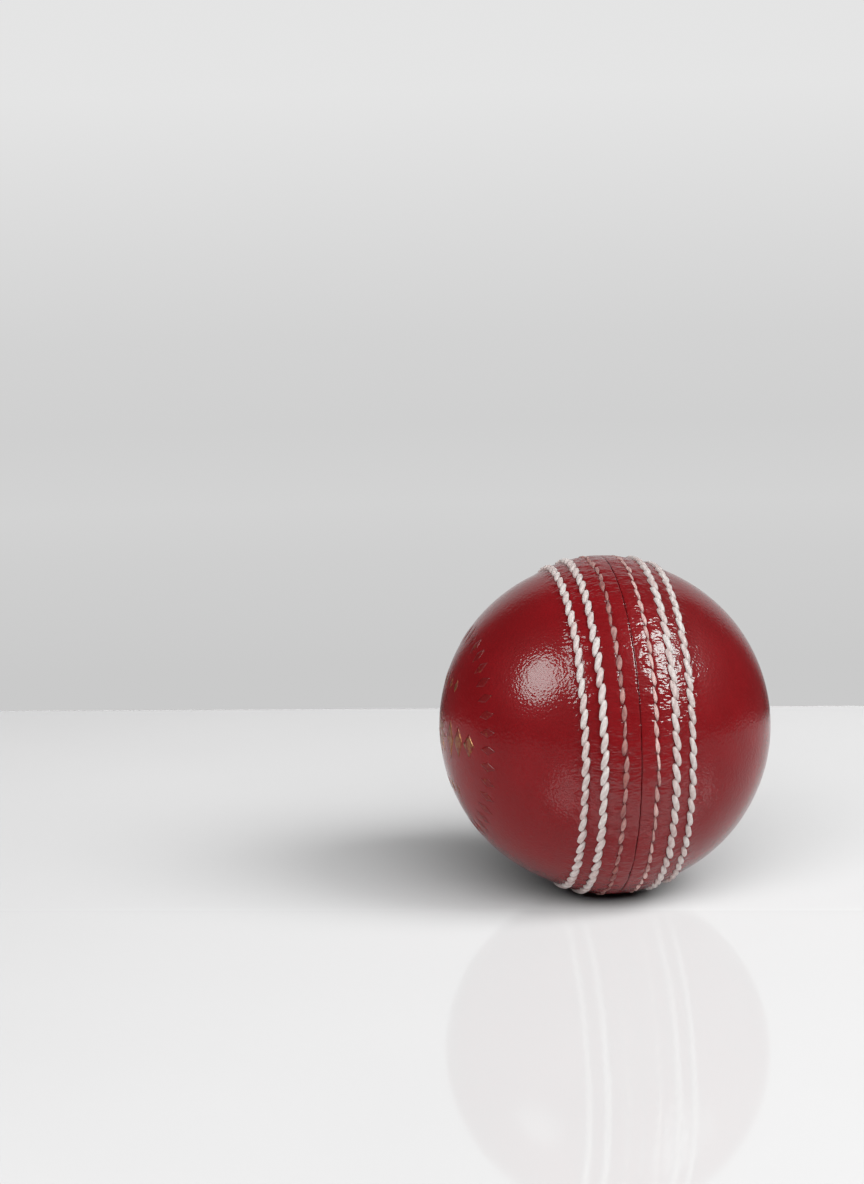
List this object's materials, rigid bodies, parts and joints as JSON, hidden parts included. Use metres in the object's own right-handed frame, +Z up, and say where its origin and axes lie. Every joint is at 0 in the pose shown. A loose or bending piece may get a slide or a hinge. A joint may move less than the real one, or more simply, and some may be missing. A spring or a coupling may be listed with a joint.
{
  "type": "cricket ball",
  "caption": "Hand-stitched red leather ball with a raised six-row seam, two butted leather cups, and a cork and wool core wound round a moulded nucleus.",
  "frame": {"origin": "The centre of the ball.", "axes": "+X is square to the plane of the seam, so the seam runs round the YZ plane and the two polished cheeks face -X and +X; the stamped cheek faces -X. +Z is up, and the seam stands upright."},
  "size_m": [0.072, 0.074, 0.074],
  "materials": {
    "red_leather": "gloss",
    "linen_thread": "matte",
    "stained_thread": "matte",
    "gold_foil": "satin",
    "wool_yarn": "matte",
    "cork": "matte",
    "rubberised_cork": "matte"
  },
  "bodies": {
    "root": {"nucleus": "rubberised_cork", "cork_layer_1": "cork", "yarn_winding_1": "wool_yarn", "cork_layer_2": "cork", "yarn_winding_2": "wool_yarn", "cork_layer_3": "cork", "yarn_winding_3": "wool_yarn", "cork_layer_4": "cork", "yarn_winding_4": "wool_yarn", "cork_layer_5": "cork", "yarn_winding_5": "wool_yarn", "closing_thread_a": "stained_thread", "closing_thread_b": "stained_thread", "middle_thread_a": "linen_thread", "middle_thread_b": "linen_thread", "outer_thread_a": "linen_thread", "outer_thread_b": "linen_thread", "leather_cup_left": "red_leather", "leather_cup_right": "red_leather", "foil_stamp": "gold_foil"}
  },
  "joints": []
}
